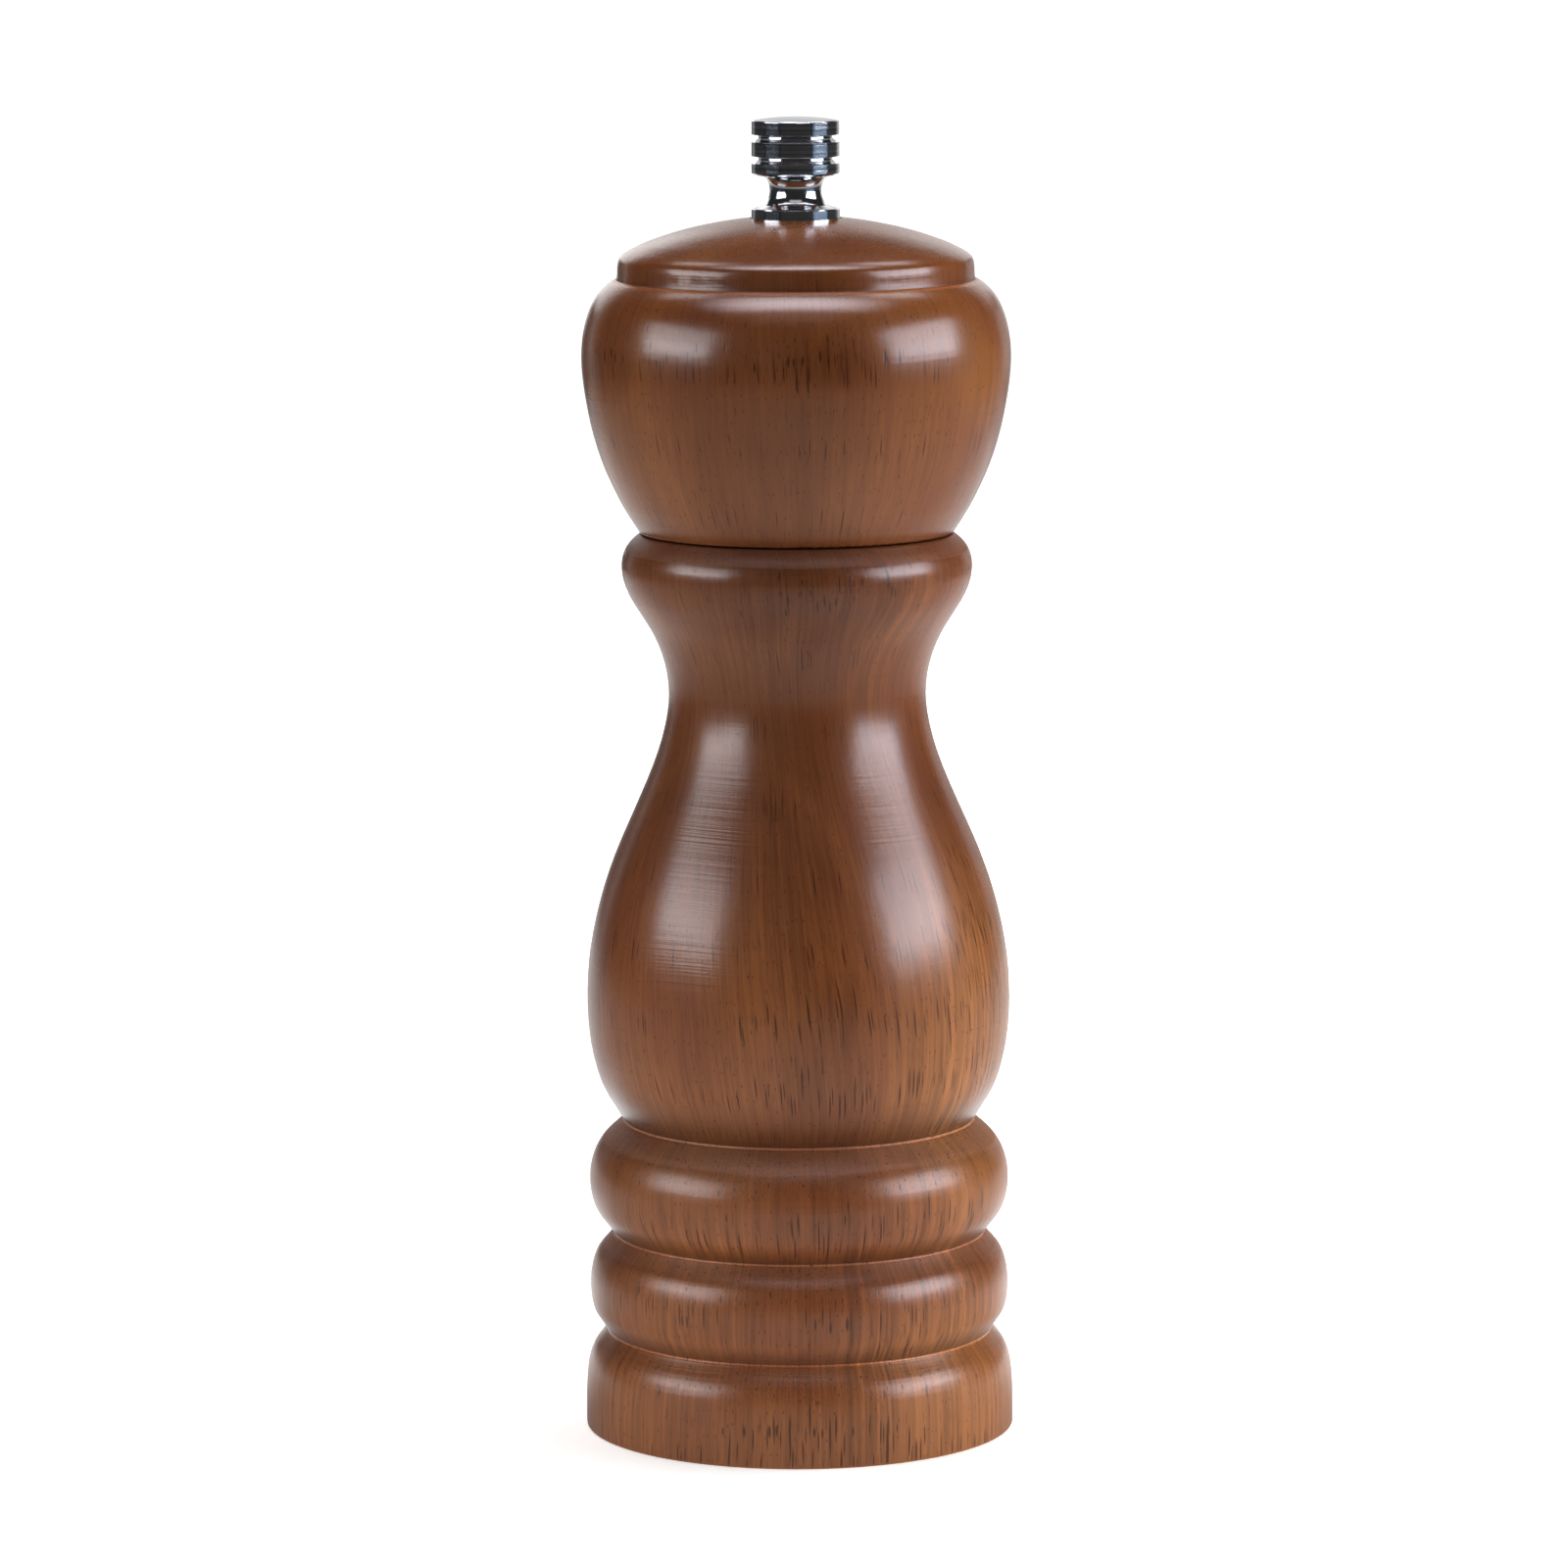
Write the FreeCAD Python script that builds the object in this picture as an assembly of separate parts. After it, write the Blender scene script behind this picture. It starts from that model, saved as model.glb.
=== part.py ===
import FreeCAD
import Part
import math
import os

# Pepper mill: turned wooden body and head, stainless adjusting knob, and a
# steel burr mechanism carried on a square shaft.
#
# Millimetres, +Z up. The origin is the centre of the base ring, on the plane the
# mill stands on. The turning axis is Z.
#
# Kinematics: the head is keyed to the square shaft by its drive plate, so turning
# the head turns the shaft and the cone burr inside the fixed ring burr. The knob
# is a nut on the top of the shaft: tightening it draws the shaft and the cone
# burr upwards against the spring, which closes the gap between the burrs. With
# the knob unscrewed, the head lifts straight off the shaft for filling.

V = FreeCAD.Vector
os.makedirs("parts", exist_ok=True)

# ---------------------------------------------------------------- dimensions
TOTAL_H = 165.5          # base plane to the crown of the knob
BASE_R = 27.05           # turned base ring, 54 mm across

# wooden body, inside
FOOT_RECESS_R = 21.0     # recess under the mill
FOOT_RECESS_TOP = 6.0
MECH_BORE_R = 15.6       # seat of the burr casing
MECH_BORE_TOP = 33.25
HOPPER_R = 11.8          # peppercorn chamber
SOCKET_Z = 103.9         # socket for the head's tenon
SOCKET_R = 13.6
RIM_Z = 113.55           # top rim of the body

# wooden head
HEAD_Z = 113.75          # under-face of the head
TENON_R = 13.3
TENON_Z = 104.5
HEAD_BORE_R = 4.0
KNOB_SEAT_Z = 152.70     # flat spot-faced on the dome
KNOB_SEAT_R = 5.75

# adjusting knob
KNOB_Z = 152.75
KNOB_R = 5.48
KNOB_FLANGE_R = 5.51
KNOB_GROOVE_R = 4.60
KNOB_WAIST_R = 3.22
KNOB_EDGE_Z = 165.05     # rim of the crowned top
KNOB_BORE_R = 2.06
KNOB_BORE_TOP = 162.4

# shaft
SQ = 5.0                 # across flats of the square shaft
SQ_CHAMFER = 0.45
SQ_HOLE = 5.3            # square holes that ride on it
SHAFT_SQ_BOTTOM = 9.65
SHAFT_SQ_TOP = 144.9
SHAFT_END_R = 2.0        # M4 ends
SHAFT_TOP = 159.0
SHAFT_BOTTOM = 3.0
THREAD_PITCH = 0.7

# grinding mechanism
CASING_R = 15.45
CASING_IN_R = 14.3
CASING_FLANGE_R = 20.7
CASING_BOTTOM = 4.8
CASING_TOP = 31.18
SPIDER_Z = 31.2
SPIDER_T = 2.0
SPIDER_R = 15.4
SPIDER_IN_R = 13.9
SPIDER_HUB_R = 5.8
SPIDER_HOLE_R = 3.65
SPIDER_ARM_W = 4.2
RING_STOP_Z = 18.95
RING_R = 14.25
BAR_Z = 3.3
BAR_T = 1.5
BAR_W = 9.0
BAR_HALF = 20.6
BAR_SCREW_X = 18.6
BUSH_R = 3.9
BUSH_BORE_R = 2.1
CONE_BOTTOM = 5.9
CONE_TOP = 21.0
CONE_R = 10.88
NUT_Z = 5.75
NUT_H = 3.0
NUT_AF = 7.0
WASHER_T = 0.8
SPRING_R = 4.35          # mean coil radius
SPRING_WIRE_R = 0.45
SPRING_Z0 = 21.65
SPRING_Z1 = 29.4
SPRING_COILS = 4.5
SEAT_Z = 29.45
SEAT_T = 1.0
SEAT_R = 5.4
THRUST_Z = 30.55         # thrust washer, glued under the spider's hub

# drive plate
PLATE_R = 11.3
PLATE_T = 1.2
PLATE_SCREW_X = 8.2


# ------------------------------------------------------------------- helpers
class Outline:
    """A closed outline in the X-Z half plane, made of lines, arcs and smooth
    curves, that is turned about Z into a solid."""

    def __init__(self, r, z):
        self.p = V(r, 0, z)
        self.start = self.p
        self.edges = []

    def line(self, r, z):
        q = V(r, 0, z)
        if q.distanceToPoint(self.p) > 1e-7:
            self.edges.append(Part.LineSegment(self.p, q).toShape())
        self.p = q
        return self

    def lines(self, *rz):
        for r, z in rz:
            self.line(r, z)
        return self

    def arc(self, mid, end):
        m, e = V(mid[0], 0, mid[1]), V(end[0], 0, end[1])
        self.edges.append(Part.Arc(self.p, m, e).toShape())
        self.p = e
        return self

    def smooth(self, *rz):
        pts = [self.p] + [V(r, 0, z) for r, z in rz]
        c = Part.BSplineCurve()
        c.interpolate(pts)
        self.edges.append(c.toShape())
        self.p = pts[-1]
        return self

    def turn(self):
        self.line(self.start.x, self.start.z)
        face = Part.Face(Part.Wire(self.edges))
        s = face.revolve(V(0, 0, 0), V(0, 0, 1), 360)
        if s.ShapeType != "Solid":
            s = s.Solids[0] if s.Solids else Part.Solid(s.Shells[0])
        if s.Volume < 0:
            s.reverse()
        return s


def cyl(r, z0, z1, x=0.0, y=0.0):
    return Part.makeCylinder(r, z1 - z0, V(x, y, z0))


def box(x0, y0, z0, x1, y1, z1):
    return Part.makeBox(x1 - x0, y1 - y0, z1 - z0, V(x0, y0, z0))


def square_bar(a, z0, z1, chamfer=0.0):
    h = a / 2
    if chamfer:
        c = chamfer
        pts = [(h - c, -h), (h, -h + c), (h, h - c), (h - c, h), (-h + c, h), (-h, h - c), (-h, -h + c), (-h + c, -h)]
    else:
        pts = [(h, -h), (h, h), (-h, h), (-h, -h)]
    w = Part.makePolygon([V(x, y, z0) for x, y in pts] + [V(pts[0][0], pts[0][1], z0)])
    return Part.Face(w).extrude(V(0, 0, z1 - z0))


def turned(shape, deg):
    s = shape.copy()
    s.rotate(V(0, 0, 0), V(0, 0, 1), deg)
    return s


def groove_section(r_tip, r_mouth, half_w, z, deg):
    """A triangle lying across a burr's surface: its tip at r_tip, its two
    corners at r_mouth, in the horizontal plane z, turned deg about Z."""
    a = math.radians(deg)

    def at(r, t):
        return V(r * math.cos(a) - t * math.sin(a), r * math.sin(a) + t * math.cos(a), z)

    p = [at(r_tip, 0), at(r_mouth, half_w), at(r_mouth, -half_w)]
    return Part.makePolygon(p + [p[0]])


def groove(sections):
    return Part.makeLoft([groove_section(*s) for s in sections], True, True)


def one(shape):
    shape = shape.removeSplitter()
    sol = shape.Solids
    if len(sol) != 1:
        raise RuntimeError("expected one solid, got %d" % len(sol))
    return sol[0]


NODES = {}


def keep(name, *solids):
    """Stores a node. Several solids in one node are identical fasteners."""
    for s in solids:
        if not s.isValid():
            raise RuntimeError(name + " is not valid")
    NODES[name] = solids[0] if len(solids) == 1 else Part.makeCompound(list(solids))


# --------------------------------------------------------------- wooden body
# Outside, from the foot up: plain base ring, two half-round beads between
# three V grooves, the belly, the neck and the collar bead under the head.
body = Outline(FOOT_RECESS_R, 0.0)
body.line(26.68, 0.0)
body.arc((26.94, 0.10), (27.05, 0.36))
body.smooth((27.06, 2.5), (27.04, 4.4), (26.94, 6.4), (26.74, 8.1), (26.33, 9.6), (25.70, 10.75), (24.96, 11.65), (24.56, 12.28))
body.arc((24.40, 12.55), (24.60, 12.82))
body.smooth((25.10, 13.75), (25.86, 14.85), (26.30, 16.3), (26.45, 18.1), (26.36, 19.8), (26.02, 21.3), (25.36, 22.7), (24.42, 23.75), (23.68, 24.75))
body.arc((23.50, 25.02), (23.68, 25.29))
body.smooth((24.50, 26.4), (25.42, 27.6), (26.12, 29.2), (26.44, 31.1), (26.45, 32.4), (26.17, 34.1), (25.32, 36.1), (24.29, 37.42), (23.13, 38.46), (22.45, 39.12))
body.arc((22.18, 39.42), (22.38, 39.75))
body.smooth(
    (23.17, 41.15), (24.42, 43.2), (25.53, 46.1), (26.25, 49.4), (26.57, 52.6),
    (26.62, 55.4), (26.45, 58.9), (25.92, 62.8), (24.92, 67.2), (23.28, 72.3),
    (21.18, 77.3), (18.98, 82.3), (17.40, 86.5), (16.46, 90.2), (16.13, 93.3),
    (16.28, 95.5), (16.96, 98.4), (18.27, 101.4), (19.82, 103.9), (21.06, 106.0),
    (21.76, 107.9), (21.95, 109.4), (21.78, 110.8), (21.24, 112.0), (20.40, 112.95), (19.86, 113.38))
body.arc((19.68, 113.50), (19.45, RIM_Z))
body.line(SOCKET_R + 0.5, RIM_Z)
body.lines((SOCKET_R, RIM_Z - 0.5), (SOCKET_R, SOCKET_Z), (HOPPER_R + 0.4, SOCKET_Z), (HOPPER_R, SOCKET_Z - 0.4))
body.lines((HOPPER_R, MECH_BORE_TOP), (MECH_BORE_R, MECH_BORE_TOP), (MECH_BORE_R, FOOT_RECESS_TOP + 0.4), (MECH_BORE_R + 0.4, FOOT_RECESS_TOP))
body.lines((FOOT_RECESS_R, FOOT_RECESS_TOP), (FOOT_RECESS_R, 0.5))
body.line(FOOT_RECESS_R + 0.5, 0.0)
body.start = V(FOOT_RECESS_R + 0.5, 0, 0)
body.edges[0] = Part.LineSegment(V(FOOT_RECESS_R + 0.5, 0, 0), V(26.68, 0, 0)).toShape()
wood_body = body.turn()
# pilot holes of the two retaining screws
for sx in (-1, 1):
    wood_body = wood_body.cut(cyl(1.2, FOOT_RECESS_TOP - 0.5, 14.6, sx * BAR_SCREW_X))
keep("wood_body", one(wood_body))

# --------------------------------------------------------------- wooden head
head = Outline(HEAD_BORE_R, TENON_Z)
head.line(TENON_R - 0.7, TENON_Z)
head.line(TENON_R, TENON_Z + 0.7)
head.line(TENON_R, HEAD_Z)
head.line(19.42, HEAD_Z)
head.arc((19.66, 113.83), (19.80, 114.02))
head.smooth(
    (20.70, 115.4), (21.92, 117.45), (22.94, 119.5), (23.92, 121.7), (24.82, 124.2),
    (25.60, 127.0), (26.26, 130.3), (26.68, 133.3), (26.80, 135.9), (26.66, 138.0),
    (26.26, 140.1), (25.46, 142.3), (24.63, 143.60), (23.76, 144.50), (23.02, 145.06), (22.42, 145.34))
# quirk, slightly hollow rim of the cap, then the low dome
head.line(22.35, 145.28)
head.smooth((22.30, 145.60), (22.26, 146.1), (22.25, 146.7), (22.21, 147.3), (22.10, 147.78), (21.94, 148.06), (21.68, 148.32), (21.28, 148.62), (20.84, 148.88),
            (20.3, 149.15), (19.5, 149.55), (18.0, 150.15), (16.0, 150.84), (14.0, 151.42), (11.0, 152.10), (8.5, 152.55), (KNOB_SEAT_R, 152.89))
head.line(KNOB_SEAT_R - 0.05, KNOB_SEAT_Z)
head.lines((4.6, KNOB_SEAT_Z), (4.6, 152.1), (3.4, 152.1), (3.4, 147.0), (HEAD_BORE_R, 147.0))
wood_head = head.turn()
for sx in (-1, 1):
    wood_head = wood_head.cut(cyl(0.98, TENON_Z - 0.5, 112.4, sx * PLATE_SCREW_X))
keep("wood_head", one(wood_head))

# ferrule that lines the top of the head and carries the knob
fer = Outline(2.25, 147.0)
fer.lines((3.38, 147.0), (3.38, 152.1), (4.55, 152.1), (4.55, 152.5), (4.40, 152.66), (2.45, 152.66), (2.25, 152.46))
keep("head_ferrule", fer.turn())

# --------------------------------------------------------------- drive plate
plate = cyl(PLATE_R, TENON_Z - PLATE_T, TENON_Z)
plate = plate.makeChamfer(0.2, [e for e in plate.Edges if e.Length > 60 and abs(e.CenterOfMass.z - (TENON_Z - PLATE_T)) < 1e-6])
plate = plate.cut(square_bar(SQ_HOLE, TENON_Z - 3, TENON_Z + 1))
for sx in (-1, 1):
    plate = plate.cut(cyl(1.15, TENON_Z - 3, TENON_Z + 1, sx * PLATE_SCREW_X))
    plate = plate.cut(Part.makeCone(2.25, 1.15, 1.1, V(sx * PLATE_SCREW_X, 0, TENON_Z - PLATE_T)))
keep("drive_plate", one(plate))


def wood_screw(x, z_head, up, head_r, head_h, shank_r, length, thread_from, countersunk, recess_r):
    """A wood screw on a vertical axis through x. It points upwards; its head's
    outer face is at z_head."""
    o = Outline(0, 0)
    if countersunk:
        o.lines((head_r, 0), (head_r, 0.12), (shank_r, head_h))
    else:
        o.line(head_r * 0.52, 0)
        o.arc((head_r * 0.86, 0.25), (head_r, head_h * 0.55))
        o.lines((head_r, head_h), (shank_r, head_h))
    z = thread_from
    o.line(shank_r, z)
    root = shank_r * 0.70
    pitch = 0.8
    while z + pitch < length - 1.9:
        o.lines((root, z + 0.18), (root, z + pitch - 0.32), (shank_r, z + pitch - 0.10), (shank_r, z + pitch))
        z += pitch
    o.lines((root, z + 0.18), (root, length - 1.7), (0.12, length), (0, length))
    s = o.turn()
    cross = box(-recess_r, -0.26, -0.5, recess_r, 0.26, head_h * 0.62).fuse(box(-0.26, -recess_r, -0.5, 0.26, recess_r, head_h * 0.62))
    s = one(s.cut(cross))
    s.translate(V(x, 0, z_head))
    return s


keep("drive_plate_screws", *[wood_screw(sx * PLATE_SCREW_X, TENON_Z - PLATE_T - 0.02, 1, 2.1, 1.12, 0.94, 8.6, 1.9, True, 1.05) for sx in (-1, 1)])

# --------------------------------------------------------------------- knob
b = 0.13  # broken edges
k = Outline(KNOB_BORE_R + 0.3, KNOB_Z)
k.lines((KNOB_FLANGE_R - b, KNOB_Z), (KNOB_FLANGE_R, KNOB_Z + b), (KNOB_FLANGE_R, 154.02), (KNOB_FLANGE_R - b, 154.12), (4.70, 154.30), (4.02, 154.52))
k.smooth((3.74, 154.76), (3.54, 155.08), (3.38, 155.46), (3.27, 155.90), (KNOB_WAIST_R, 156.45), (3.28, 156.98), (3.43, 157.42), (3.66, 157.80), (4.02, 158.08))
k.lines((4.50, 158.17), (5.15, 158.28), (KNOB_R, 158.52))
# two decorative grooves: sloping lower wall, narrow floor, steep upper wall
for g in (159.67, 162.36):
    k.lines((KNOB_R, g), (KNOB_R - 0.06, g + 0.05))
    k.smooth((5.20, g + 0.16), (5.00, g + 0.28), (4.80, g + 0.38), (KNOB_GROOVE_R + 0.02, g + 0.50))
    k.lines((KNOB_GROOVE_R, g + 0.72), (KNOB_GROOVE_R + 0.10, g + 0.79), (KNOB_R - 0.10, g + 0.90), (KNOB_R, g + 0.96))
k.line(KNOB_R, KNOB_EDGE_Z - 0.18)
k.arc((KNOB_R - 0.05, KNOB_EDGE_Z - 0.05), (KNOB_R - 0.17, KNOB_EDGE_Z))
crown = TOTAL_H - KNOB_EDGE_Z
crown_R = ((KNOB_R - 0.17) ** 2 + crown ** 2) / (2 * crown)
k.arc((2.6, TOTAL_H - crown_R + math.sqrt(crown_R ** 2 - 2.6 ** 2)), (0, TOTAL_H))
k.lines((0, KNOB_BORE_TOP + 0.9), (KNOB_BORE_R, KNOB_BORE_TOP), (KNOB_BORE_R, KNOB_Z + 0.3))
knob = k.turn()
keep("adjusting_knob", one(knob))

# --------------------------------------------------------------------- shaft
sh = Outline(0, SHAFT_SQ_TOP)
z = SHAFT_SQ_TOP
sh.line(SHAFT_END_R, z)
sh.line(SHAFT_END_R, 149.2)
z = 149.2
root = SHAFT_END_R - 0.40
while z + THREAD_PITCH < SHAFT_TOP - 0.5:
    sh.lines((SHAFT_END_R, z + 0.06), (root, z + 0.31), (root, z + 0.39), (SHAFT_END_R, z + 0.64))
    z += THREAD_PITCH
sh.lines((SHAFT_END_R, SHAFT_TOP - 0.45), (SHAFT_END_R - 0.45, SHAFT_TOP), (0, SHAFT_TOP))
top_end = sh.turn()
low = Outline(0, SHAFT_BOTTOM)
low.lines((SHAFT_END_R - 0.3, SHAFT_BOTTOM), (SHAFT_END_R, SHAFT_BOTTOM + 0.3), (SHAFT_END_R, SHAFT_SQ_BOTTOM), (0, SHAFT_SQ_BOTTOM))
low_end = low.turn()
square = square_bar(SQ, SHAFT_SQ_BOTTOM, SHAFT_SQ_TOP, SQ_CHAMFER)
# the square is turned down with a 45 degree shoulder at both ends
shoulder = Outline(0, SHAFT_SQ_BOTTOM)
shoulder.lines((2.75, SHAFT_SQ_BOTTOM), (4.2, SHAFT_SQ_BOTTOM + 1.45), (4.2, SHAFT_SQ_TOP - 1.7), (2.5, SHAFT_SQ_TOP), (0, SHAFT_SQ_TOP))
square = square.common(shoulder.turn())
keep("drive_shaft", one(square.fuse([top_end, low_end])))

# ---------------------------------------------------------------- burr casing
c = Outline(CASING_IN_R, CASING_BOTTOM)
c.lines((CASING_FLANGE_R - 0.2, CASING_BOTTOM), (CASING_FLANGE_R, CASING_BOTTOM + 0.2), (CASING_FLANGE_R, FOOT_RECESS_TOP - 0.02), (CASING_R, FOOT_RECESS_TOP - 0.02))
c.lines((CASING_R, CASING_TOP - 0.3), (CASING_R - 0.3, CASING_TOP), (CASING_IN_R, CASING_TOP))
c.lines((CASING_IN_R, RING_STOP_Z + 1.7), (13.5, RING_STOP_Z + 0.9), (13.5, RING_STOP_Z), (CASING_IN_R, RING_STOP_Z))
casing = c.turn()
cut = [cyl(1.25, 0, 8, sx * BAR_SCREW_X) for sx in (-1, 1)]
# two notches that key the ring burr
cut += [box(-1.5, sy * 13.0 if sy > 0 else -17.0, CASING_BOTTOM - 1, 1.5, 17.0 if sy > 0 else -13.0, 8.1) for sy in (-1, 1)]
casing = casing.cut(cut)
keep("burr_casing", one(casing))

# --------------------------------------- spider over the casing, thrust washer
SPIDER_TOP = SPIDER_Z + SPIDER_T
spider = cyl(SPIDER_R, SPIDER_Z, SPIDER_TOP).cut(cyl(SPIDER_IN_R, SPIDER_Z - 1, SPIDER_TOP + 1))
hub = cyl(SPIDER_HUB_R, SPIDER_Z, SPIDER_TOP)
arms = [turned(box(SPIDER_HUB_R - 1.2, -SPIDER_ARM_W / 2, SPIDER_Z, SPIDER_IN_R + 0.5, SPIDER_ARM_W / 2, SPIDER_TOP), d) for d in (90, 210, 330)]
spider = one(spider.fuse([hub] + arms).cut(cyl(SPIDER_HOLE_R, SPIDER_Z - 1, SPIDER_TOP + 1)))
upper = [e for e in spider.Edges if len(e.Vertexes) == 2 and all(abs(v.Z - SPIDER_TOP) < 1e-6 for v in e.Vertexes)]
spider = spider.makeChamfer(0.3, upper)
keep("bearing_spider", one(spider))
keep("thrust_washer", one(cyl(5.6, THRUST_Z, SPIDER_Z - 0.01).cut(cyl(3.7, THRUST_Z - 1, SPIDER_Z + 1))))

# ------------------------------------------------------------------ ring burr
r = Outline(12.05, CASING_BOTTOM)
r.lines((RING_R - 0.2, CASING_BOTTOM), (RING_R, CASING_BOTTOM + 0.2), (RING_R, RING_STOP_Z - 0.05))
r.lines((10.9, RING_STOP_Z - 0.05), (9.75, RING_STOP_Z - 1.6), (10.3, 9.8))
ring = r.turn()
lug = [box(-1.35, 13.6, CASING_BOTTOM, 1.35, 15.3, 7.9), box(-1.35, -15.3, CASING_BOTTOM, 1.35, -13.6, 7.9)]
ring = ring.fuse(lug)
FINE_RING = 42
COARSE_RING = 9
teeth = []
for i in range(FINE_RING):
    a = 360.0 * i / FINE_RING
    teeth.append(groove([(12.92, 11.75, 1.30, 4.1, a - 4.0), (10.98, 9.95, 1.20, 9.4, a + 9.0), (10.20, 9.4, 0.6, 11.6, a + 15.0)]))
for i in range(COARSE_RING):
    a = 360.0 * i / COARSE_RING + 4
    teeth.append(groove([(10.9 + 1.7, 8.4, 2.9, 19.4, a + 14.0), (9.95 + 1.35, 8.6, 2.1, 14.0, a + 2.0), (10.25 + 0.05, 9.2, 0.9, 8.8, a - 10.0)]))
ring = ring.cut(teeth)
keep("ring_burr", one(ring))

# ------------------------------------------------------------------ cone burr
q = Outline(0, CONE_BOTTOM)
q.lines((CONE_R - 0.25, CONE_BOTTOM), (CONE_R, CONE_BOTTOM + 0.12), (CONE_R - 0.36 * 3.9, CONE_BOTTOM + 3.9))
q.smooth((8.35, 12.2), (7.20, 15.0), (6.30, 18.0), (5.75, CONE_TOP - 0.35))
q.lines((5.45, CONE_TOP), (0, CONE_TOP))
cone = q.turn()
cone = cone.cut([square_bar(SQ_HOLE - 0.1, 4, 24), cyl(5.0, 4.0, NUT_Z + NUT_H + WASHER_T)])
FINE_CONE = 38
COARSE_CONE = 6
teeth = []
for i in range(FINE_CONE):
    a = 360.0 * i / FINE_CONE
    teeth.append(groove([(10.58, 11.75, 1.42, 5.3, a - 4.0), (9.12, 10.2, 1.30, 9.4, a + 9.0), (8.95, 9.9, 0.75, 11.3, a + 15.0)]))
for i in range(COARSE_CONE):
    a = 360.0 * i / COARSE_CONE
    teeth.append(groove([(4.25, 6.9, 2.2, 21.5, a + 34.0), (5.6, 9.3, 2.9, 15.5, a + 16.0), (9.55, 11.4, 2.0, 9.0, a - 8.0)]))
cone = cone.cut(teeth)
keep("cone_burr", one(cone))

# ------------------------------------------------- nut and washer under the cone
hexagon = Part.makePolygon([V(NUT_AF / math.sqrt(3) * math.cos(math.radians(60 * i)), NUT_AF / math.sqrt(3) * math.sin(math.radians(60 * i)), NUT_Z) for i in range(7)])
nut = Part.Face(hexagon).extrude(V(0, 0, NUT_H))
crown = Outline(0, NUT_Z)
crown.lines((3.45, NUT_Z), (4.2, NUT_Z + 0.42), (4.2, NUT_Z + NUT_H), (0, NUT_Z + NUT_H))
nut = nut.common(crown.turn())
bore = Outline(0, NUT_Z - 0.1)
bore.lines((2.45, NUT_Z - 0.1), (2.05, NUT_Z + 0.3), (2.05, NUT_Z + NUT_H + 0.1), (0, NUT_Z + NUT_H + 0.1))
nut = nut.cut(bore.turn())
keep("cone_nut", one(nut))
keep("cone_washer", one(cyl(4.4, NUT_Z + NUT_H + 0.01, NUT_Z + NUT_H + WASHER_T - 0.01).cut(cyl(2.15, 0, 20))))

# --------------------------------------------------------- spring and its seats
pitch = (SPRING_Z1 - SPRING_Z0 - 2 * SPRING_WIRE_R) / SPRING_COILS
helix = Part.makeHelix(pitch, pitch * SPRING_COILS, SPRING_R)
circle = Part.Wire(Part.Circle(V(SPRING_R, 0, 0), V(0, 1, pitch / (2 * math.pi * SPRING_R)), SPRING_WIRE_R).toShape())
pipe = Part.Wire(helix.Edges).makePipeShell([circle], True, True)
pipe.translate(V(0, 0, SPRING_Z0 + SPRING_WIRE_R))
spring = pipe if pipe.ShapeType == "Solid" else pipe.Solids[0]
keep("grinder_spring", spring)
keep("lower_spring_washer", one(cyl(5.3, CONE_TOP + 0.01, CONE_TOP + 0.6).cut(cyl(3.55, 0, 40))))
seat = Outline(0, SEAT_Z)
seat.lines((SEAT_R - 0.15, SEAT_Z), (SEAT_R, SEAT_Z + 0.15), (SEAT_R, SEAT_Z + SEAT_T - 0.15), (SEAT_R - 0.15, SEAT_Z + SEAT_T), (0, SEAT_Z + SEAT_T))
keep("upper_spring_seat", one(seat.turn().cut(square_bar(SQ_HOLE, 20, 40))))

# ------------------------------------------- retaining bar, its bush and screws
bar = box(-BAR_HALF, -BAR_W / 2, BAR_Z, BAR_HALF, BAR_W / 2, BAR_Z + BAR_T)
bar = bar.common(cyl(BAR_HALF, BAR_Z - 1, BAR_Z + BAR_T + 1))
bar = bar.cut([cyl(BUSH_R + 0.02, 0, 8)] + [cyl(1.3, 0, 8, sx * BAR_SCREW_X) for sx in (-1, 1)])
bar = one(bar)
long_edges = [e for e in bar.Edges if abs(e.CenterOfMass.z - BAR_Z) < 1e-6 and e.Length > 30]
bar = bar.makeFillet(0.35, long_edges)
keep("retaining_bar", one(bar))
bush = Outline(BUSH_BORE_R, BAR_Z - 0.3)
bush.lines((BUSH_R, BAR_Z - 0.3), (BUSH_R, BAR_Z + BAR_T), (5.0, BAR_Z + BAR_T), (5.0, 5.45), (4.8, 5.6), (BUSH_BORE_R + 0.25, 5.6), (BUSH_BORE_R, 5.35))
keep("pilot_bush", one(bush.turn()))
keep("retaining_bar_screws", *[wood_screw(sx * BAR_SCREW_X, BAR_Z - 1.42, 1, 2.35, 1.41, 1.15, 12.2, 4.4, False, 1.3) for sx in (-1, 1)])

# ------------------------------------------------------------------ write out
for name in list(NODES):
    NODES[name].exportStep(os.path.join("parts", name + ".step"))
for name, s in NODES.items():
    bb = s.BoundBox
    print("%-22s solids %d  vol %9.2f mm3  x %.2f..%.2f  y %.2f..%.2f  z %.2f..%.2f" % (name, len(s.Solids), s.Volume, bb.XMin, bb.XMax, bb.YMin, bb.YMax, bb.ZMin, bb.ZMax))
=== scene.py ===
"""Looks for the turned wooden pepper mill. Metres, in the CAD frame: +Z up,
origin at the centre of the base ring."""

import math

import bmesh
import bpy
from mathutils import Matrix, Vector


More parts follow.
